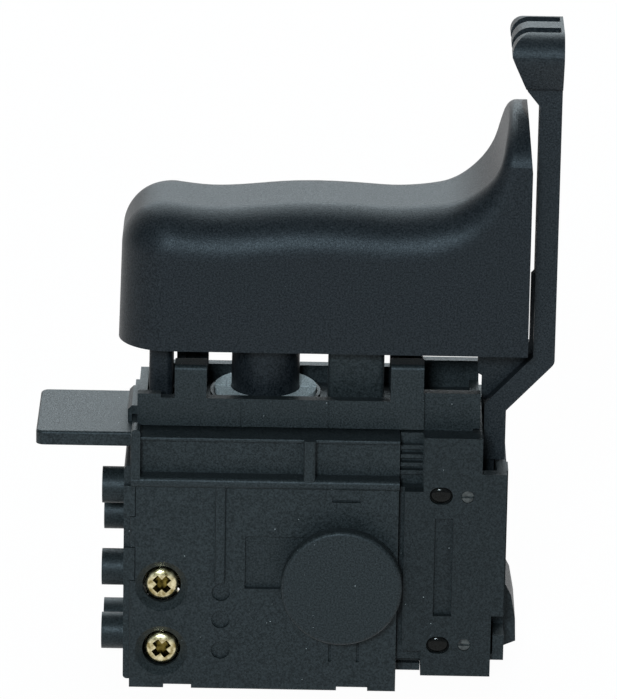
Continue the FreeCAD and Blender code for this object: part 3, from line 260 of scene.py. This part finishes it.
# %% Dust that lies on the plastic
dust_spacing = 1.8 * mm
dust_radius = 0.06 * mm
dust_colour = (0.3, 0.32, 0.32, 1)
mix_factor, mix_colour_a, mix_colour_b, mix_colour_result = 0, 6, 7, 2


def dust_specks(tree):
    """One where a speck lies, zero elsewhere: the cores of scattered cells."""
    where = tree.nodes.new("ShaderNodeTexCoord")
    cells = add_node(tree, "TexVoronoi", Scale=1 / dust_spacing)
    join(tree, where, "Object", cells, "Vector")
    core = tree.nodes.new("ShaderNodeMath")
    core.operation = "LESS_THAN"
    core.inputs[1].default_value = dust_radius / dust_spacing
    join(tree, cells, "Distance", core, 0)
    return core


def powdered(tree, colour):
    """Lay the specks over a colour; the Mix node's colour sockets go by number."""
    powder = tree.nodes.new("ShaderNodeMix")
    powder.data_type = "RGBA"
    powder.inputs[mix_colour_b].default_value = dust_colour
    join(tree, dust_specks(tree), 0, powder, mix_factor)
    join(tree, colour, "Color", powder, mix_colour_a)
    return powder


# %% Moulded plastic
plastic_ior = 1.31
grain_detail = 3.0
patches_per_metre = 4600.0


def moulded_plastic(name, dark, light, rough, grain_size, grain_depth,
                    mirror=(1, 1, 1, 1), dusty=False):
    """Plastic whose colour runs from dark to light and whose roughness runs over a pair of values."""
    material = new_material(name)
    tree = material.node_tree
    surface = add_node(tree, "BsdfPrincipled", IOR=plastic_ior, Specular_Tint=mirror)
    grain = noise(tree, 1 / grain_size, grain_detail)
    patches = noise(tree, patches_per_metre, grain_detail)
    colour = tint(tree, patches, dark, light)
    if dusty:
        join(tree, powdered(tree, colour), mix_colour_result, surface, "Base Color")
    else:
        join(tree, colour, "Color", surface, "Base Color")
    roughness = spread(tree, grain, noise_band, rough)
    join(tree, roughness, "Result", surface, "Roughness")
    bump = add_node(tree, "Bump", Strength=1.0, Distance=grain_depth)
    join(tree, grain, "Fac", bump, "Height")
    join(tree, bump, "Normal", surface, "Normal")
    output = tree.nodes.new("ShaderNodeOutputMaterial")
    join(tree, surface, 0, output, "Surface")
    return material


# %% The black plastics
cool_mirror = (0.77, 0.87, 0.93, 1)
grey_mirror = (0.5, 0.5, 0.48, 1)
housing_nylon = moulded_plastic(
    "housing_nylon", dark=(0.006, 0.0085, 0.009, 1), light=(0.025, 0.0305, 0.0325, 1),
    rough=(0.38, 0.52), grain_size=0.18 * mm, grain_depth=0.025 * mm, mirror=cool_mirror, dusty=True)
unit_nylon = moulded_plastic(
    "unit_nylon", dark=(0.004, 0.006, 0.0065, 1), light=(0.018, 0.0225, 0.024, 1),
    rough=(0.38, 0.52), grain_size=0.18 * mm, grain_depth=0.025 * mm, mirror=cool_mirror, dusty=True)
trigger_nylon = moulded_plastic(
    "trigger_nylon", dark=(0.001, 0.0025, 0.004, 1), light=(0.0155, 0.0185, 0.0215, 1),
    rough=(0.38, 0.5), grain_size=0.18 * mm, grain_depth=0.03 * mm, mirror=cool_mirror)
lever_nylon = moulded_plastic(
    "lever_nylon", dark=(0.003, 0.005, 0.0065, 1), light=(0.021, 0.0245, 0.0275, 1),
    rough=(0.38, 0.5), grain_size=0.16 * mm, grain_depth=0.03 * mm, mirror=cool_mirror)
shiny_nylon = moulded_plastic(
    "shiny_nylon", dark=(0.003, 0.003, 0.003, 1), light=(0.008, 0.008, 0.0075, 1),
    rough=(0.08, 0.16), grain_size=0.6 * mm, grain_depth=0.004 * mm, mirror=grey_mirror)
print("plastics", [m.name for m in (housing_nylon, unit_nylon, trigger_nylon, lever_nylon, shiny_nylon)])

# %% [markdown]
# The metals are simple: a full metallic surface whose colour and roughness drift a little, as on
# stamped or turned small parts that have been handled. One slow noise drives both, and a slight
# bump, so that the darker places are also the duller ones.

# %% Metals
blotches_per_metre = 1500.0
blotch_detail = 4.0
blotch_band = (0.3, 0.7)
blotch_depth = 0.02 * mm
blotch_strength = 0.4


def small_metal(name, dark, light, rough):
    material = new_material(name)
    tree = material.node_tree
    surface = add_node(tree, "BsdfPrincipled", Metallic=1.0)
    blotches = noise(tree, blotches_per_metre, blotch_detail)
    join(tree, tint(tree, blotches, dark, light), "Color", surface, "Base Color")
    join(tree, spread(tree, blotches, blotch_band, rough), "Result", surface, "Roughness")
    bump = add_node(tree, "Bump", Strength=blotch_strength, Distance=blotch_depth)
    join(tree, blotches, "Fac", bump, "Height")
    join(tree, bump, "Normal", surface, "Normal")
    output = tree.nodes.new("ShaderNodeOutputMaterial")
    join(tree, surface, 0, output, "Surface")
    return material


brass = small_metal("screw_brass", dark=(0.25, 0.2, 0.08, 1), light=(0.78, 0.7, 0.45, 1),
                    rough=(0.16, 0.34))
# A darker brass for the cut faces of the cross recess: painted shade where the recess is dim.
recess_shade_brass = small_metal("recess_shade_brass", dark=(0.03, 0.022, 0.004, 1), light=(0.2, 0.15, 0.035, 1),
                            rough=(0.2, 0.4))
steel = small_metal("spring_steel", dark=(0.32, 0.32, 0.33, 1), light=(0.5, 0.5, 0.52, 1),
                    rough=(0.22, 0.38))
zinc = small_metal("dull_zinc", dark=(0.03, 0.034, 0.036, 1), light=(0.09, 0.1, 0.1, 1),
                   rough=(0.35, 0.5))
aluminium = small_metal("heat_sink_aluminium", dark=(0.62, 0.63, 0.64, 1), light=(0.75, 0.76, 0.77, 1),
                        rough=(0.3, 0.45))
print("metals", [m.name for m in (brass, recess_shade_brass, steel, zinc, aluminium)])

# %% [markdown]
# The felt ring, the circuit board and its parts are matt or glossy solids with a grain of their own,
# and no metal, so the plastic's recipe serves for them too. Felt gets a coarse, deep grain and a
# high roughness, and the sleeve of the capacitor a shallow grain and a low one.

# %% Felt, board, sleeve and chip
felt = moulded_plastic("seal_felt", dark=(0.2, 0.23, 0.235, 1), light=(0.55, 0.6, 0.61, 1),
                       rough=(0.8, 0.95), grain_size=0.4 * mm, grain_depth=0.1 * mm)
board = moulded_plastic("board_green", dark=(0.02, 0.13, 0.06, 1), light=(0.03, 0.18, 0.08, 1),
                        rough=(0.25, 0.4), grain_size=0.3 * mm, grain_depth=0.005 * mm)
sleeve = moulded_plastic("capacitor_blue", dark=(0.012, 0.016, 0.05, 1), light=(0.02, 0.025, 0.07, 1),
                         rough=(0.2, 0.3), grain_size=0.5 * mm, grain_depth=0.002 * mm)
epoxy = moulded_plastic("chip_epoxy", dark=(0.012, 0.012, 0.012, 1), light=(0.02, 0.02, 0.02, 1),
                        rough=(0.5, 0.65), grain_size=0.15 * mm, grain_depth=0.01 * mm)
print("others", [m.name for m in (felt, board, sleeve, epoxy)])

# %% [markdown]
# Each solid already has a plain material in its slots. Its shape is right, so only the material is
# changed. The table reads as a maker's list would: what the finish is, then what is made of it. The
# reversing unit's cover, the trigger and the lever are separate mouldings, and each of them has a
# black of its own on the real switch.

# %% Give every node its finish
finishes = {
    housing_nylon: ("housing_base", "front_cover", "terminal_block", "slide_frame", "contact_slider",
                    "lock_button", "reverse_housing", "link_bars"),
    unit_nylon: ("reverse_cover",),
    shiny_nylon: ("cover_rivets",),
    trigger_nylon: ("trigger", "plunger"),
    lever_nylon: ("reverse_lever",),
    brass: ("terminal_screws", "terminal_clamps", "fixed_contacts", "moving_contact", "speed_wiper",
            "reverse_bridge", "reverse_contacts"),
    steel: ("return_spring", "lock_spring", "detent_spring", "lock_clip", "detent_ball"),
    zinc: ("locating_pins", "lever_pivot"),
    aluminium: ("heat_sink",),
    felt: ("plunger_seal",),
    board: ("circuit_board",),
    sleeve: ("capacitor",),
    epoxy: ("power_chip",),
}
for material, names in finishes.items():
    for name in names:
        for held in nodes[name].material_slots:
            held.material = material
unfinished = set(nodes) - {name for names in finishes.values() for name in names}
print("nodes without a finish:", sorted(unfinished))

# %% [markdown]
# The terminal screws are the one bright thing on the switch, so they are made again in more detail:
# a head with a crowned top, and a cross recess whose walls lean in. A lathe makes the head from its
# half outline, and two tapered bars are cut out of it. The cut faces keep a darker brass of their
# own, which is painted shade for the dim bottom of the recess. The recess stands at another angle in
# each screw, as tightened screws do.

# %% Sizes of the screws
screw_x = -12.5 * mm
screw_head_radius = 2.1 * mm
screw_head_height = 1.4 * mm
screw_shank_radius = 1.17 * mm
screw_crown = 0.3 * mm
# Each point of the crown is a share of the head's radius and a drop counted in crowns.
crown_points = ((0.5, 0.12), (0.8, 0.45), (0.93, 1.0), (1.0, 1.8))
recess_reach = 1.72 * mm
recess_width = 1.15 * mm
recess_depth = 0.9 * mm
recess_floor_reach = 0.45 * recess_reach
recess_floor_width = 0.6 * recess_width
crease_angle = math.radians(28)
# Each screw has the height of its axis and the angle of its cross in degrees.
front_screws = ((5.0 * mm, 38), (13.6 * mm, 45))
back_screws = ((3.7 * mm, 62), (18.0 * mm, 20))
front_screw_tip = -4.8 * mm
back_screw_tip = 6.4 * mm
screws_low, screws_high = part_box("terminal_screws")
print("screw heads from y", round(screws_low.y / mm, 2), "to", round(screws_high.y / mm, 2), "mm")


# %% A turned part from its half outline
def turned(outline, steps=48):
    """Spin points of radius and height about the Z axis."""
    mesh = bmesh.new()
    spokes = [2 * math.pi * i / steps for i in range(steps)]
    rings = []
    for radius, height in outline:
        if radius == 0:
            rings.append([mesh.verts.new((0, 0, height))])
        else:
            ring = [(radius * math.cos(a), radius * math.sin(a), height) for a in spokes]
            rings.append([mesh.verts.new(point) for point in ring])
    for upper, lower in zip(rings[:-1], rings[1:]):
        for i in range(steps):
            j = (i + 1) % steps
            corners = [upper[i % len(upper)], lower[i % len(lower)],
                       lower[j % len(lower)], upper[j % len(upper)]]
            mesh.faces.new(list(dict.fromkeys(corners)))
    bmesh.ops.recalc_face_normals(mesh, faces=mesh.faces)
    return mesh


def as_object(name, mesh, materials):
    data = bpy.data.meshes.new(name)
    mesh.to_mesh(data)
    mesh.free()
    for material in materials:
        data.materials.append(material)
    thing = bpy.data.objects.new(name, data)
    bpy.context.scene.collection.objects.link(thing)
    return thing


# %% The cross recess
def recess_bar():
    """One arm of the cross: a bar that narrows as it goes down."""
    mesh = bmesh.new()
    bmesh.ops.create_cube(mesh, size=1.0)
    for vert in mesh.verts:
        deep = vert.co.z < 0
        vert.co.x *= 2 * (recess_floor_reach if deep else recess_reach)
        vert.co.y *= recess_floor_width if deep else recess_width
        vert.co.z = -recess_depth if deep else recess_depth
    return mesh


def cut_out(thing, cutter):
    """Cut with a Boolean modifier and keep its result as the mesh."""
    carve = thing.modifiers.new("carve", "BOOLEAN")
    carve.operation = "DIFFERENCE"
    carve.solver = "EXACT"
    carve.material_mode = "TRANSFER"
    carve.object = cutter
    shaped = thing.evaluated_get(bpy.context.evaluated_depsgraph_get())
    data = bpy.data.meshes.new_from_object(shaped)
    thing.modifiers.clear()
    thing.data = data
    bpy.data.objects.remove(cutter)


# %% One screw
def cross_head_screw(name, shank_end, turn):
    """A screw along Z with the top of its head at zero."""
    crown = [(share * screw_head_radius, -drop * screw_crown) for share, drop in crown_points]
    shank = [(screw_head_radius, -screw_head_height), (screw_shank_radius, -screw_head_height),
             (screw_shank_radius, -shank_end), (0, -shank_end)]
    screw = as_object(name, turned([(0, 0)] + crown + shank), [brass, recess_shade_brass])
    for quarter in (0, 90):
        # The cutter's dark brass passes to the cut faces: painted shade inside the recess.
        cutter = as_object("recess_bar", recess_bar(), [recess_shade_brass])
        cutter.rotation_euler.z = math.radians(turn + quarter)
        bpy.context.view_layer.update()
        cut_out(screw, cutter)
    screw.data.set_sharp_from_angle(angle=crease_angle)
    for face in screw.data.polygons:
        face.use_smooth = True
    return screw


# %% Stand the screws in their ports
for number, (height, turn) in enumerate(front_screws + back_screws):
    in_front = number < len(front_screws)
    top = screws_low.y if in_front else screws_high.y
    tip = front_screw_tip if in_front else back_screw_tip
    screw = cross_head_screw("cross_head_screw_%d" % (number + 1), abs(top - tip), turn)
    screw.data.transform(Matrix.Rotation(math.radians(90 if in_front else -90), 4, "X"))
    screw.data.transform(Matrix.Translation((screw_x, top, height)))
    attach(screw, "housing")
    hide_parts("terminal_screws")
    print(screw.name, len(screw.data.polygons), "faces")

# %% [markdown]
# The cover of the reversing unit is held by two oval plugs of a glossier plastic. Their faces are
# crowned, which is what gives each one a small light spot, so a shallow dome lies on each plug. The
# dome is a turned half ball, squeezed to the plug's oval and to a low rise.

# %% Domes on the two plugs
plug_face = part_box("cover_rivets")[0].y
plug_x = 22.1 * mm
plug_heights = (6.3 * mm, 26.2 * mm)
dome_half_width = 1.37 * mm
dome_half_height = 1.04 * mm
dome_rise = 0.34 * mm
dome_rings = 8
dome_spokes = 40


def oval_dome(name, centre):
    """Rings of a half ball, scaled to the oval and turned to face the front."""
    angles = [math.pi / 2 * i / dome_rings for i in range(dome_rings)]
    half_ball = [(0, 1.0)] + [(math.cos(angle), math.sin(angle)) for angle in reversed(angles)]
    mesh = turned(half_ball, dome_spokes)
    for vert in mesh.verts:
        wide, tall, rise = vert.co
        vert.co = centre + Vector((wide * dome_half_width, -rise * dome_rise, tall * dome_half_height))
    bmesh.ops.recalc_face_normals(mesh, faces=mesh.faces)
    for face in mesh.faces:
        face.smooth = True
    return as_object(name, mesh, [shiny_nylon])


for number, height in enumerate(plug_heights):
    dome = oval_dome("plug_dome_%d" % (number + 1), Vector((plug_x, plug_face, height)))
    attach(dome, "housing")
    print(dome.name, [round(v / mm, 2) for v in dome.dimensions], "mm")

# %% [markdown]
# Two coil springs shorten when the switch is worked: the one under the slider, and the one behind
# the lock button, whose turns show round the edge of the disc. A spring can't ride on one body
# only, but here each is wound again as a helix with closed ends and held on the housing, so it
# keeps its rest length.

# %% Wind a spring
steps_per_turn = 28
closed_turns = 1.0


def wound_spring(name, mean_radius, wire, low, high, open_turns):
    """A coil along Z whose first and last turn lie nearly flat."""
    all_turns = open_turns + 2 * closed_turns
    closed_rise = wire * closed_turns
    open_rise = high - low - wire - 2 * closed_rise
    curve = bpy.data.curves.new(name, "CURVE")
    curve.dimensions = "3D"
    curve.bevel_depth = wire / 2
    curve.bevel_resolution = 3
    curve.use_fill_caps = True
    spline = curve.splines.new("POLY")
    count = int(all_turns * steps_per_turn)
    spline.points.add(count)
    for i in range(count + 1):
        turn = all_turns * i / count
        open_share = min(max((turn - closed_turns) / open_turns, 0), 1)
        closed_share = (min(turn, closed_turns) + max(turn - closed_turns - open_turns, 0)) / closed_turns
        height = low + wire / 2 + closed_rise * closed_share + open_rise * open_share
        angle = 2 * math.pi * turn
        spline.points[i].co = (mean_radius * math.cos(angle), mean_radius * math.sin(angle), height, 1)
    holder = bpy.data.objects.new(name, curve)
    bpy.context.scene.collection.objects.link(holder)
    bpy.context.view_layer.update()
    data = bpy.data.meshes.new_from_object(holder.evaluated_get(bpy.context.evaluated_depsgraph_get()))
    bpy.data.objects.remove(holder)
    data.materials.append(steel)
    for face in data.polygons:
        face.use_smooth = True
    spring = bpy.data.objects.new(name, data)
    bpy.context.scene.collection.objects.link(spring)
    return spring


def seat_spring(spring, node):
    """Replace a solid spring with the new one, held on the housing."""
    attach(spring, "housing")
    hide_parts(node)
    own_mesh(spring)


# %% The slider's spring
slider_coil_radius = 3.1 * mm
slider_wire = 0.7 * mm
slider_open_turns = 6
slider_low, slider_high = [corner.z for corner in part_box("return_spring")]
slider_spring = wound_spring("slider_spring", slider_coil_radius, slider_wire, slider_low, slider_high,
                             slider_open_turns)
seat_spring(slider_spring,
            "return_spring")

# %% The button's spring
button_coil_radius = 3.2 * mm
button_wire = 0.45 * mm
button_open_turns = 2.5
button_axis = Vector((9.9, 0.0, 15.1)) * mm
button_front, button_back = [corner.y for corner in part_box("lock_spring")]
button_spring = wound_spring("button_spring", button_coil_radius, button_wire, 0,
                             button_back - button_front, button_open_turns)
button_spring.data.transform(Matrix.Rotation(math.radians(-90), 4, "X"))
button_spring.data.transform(Matrix.Translation((button_axis.x, button_front, button_axis.z)))
seat_spring(button_spring,
            "lock_spring")
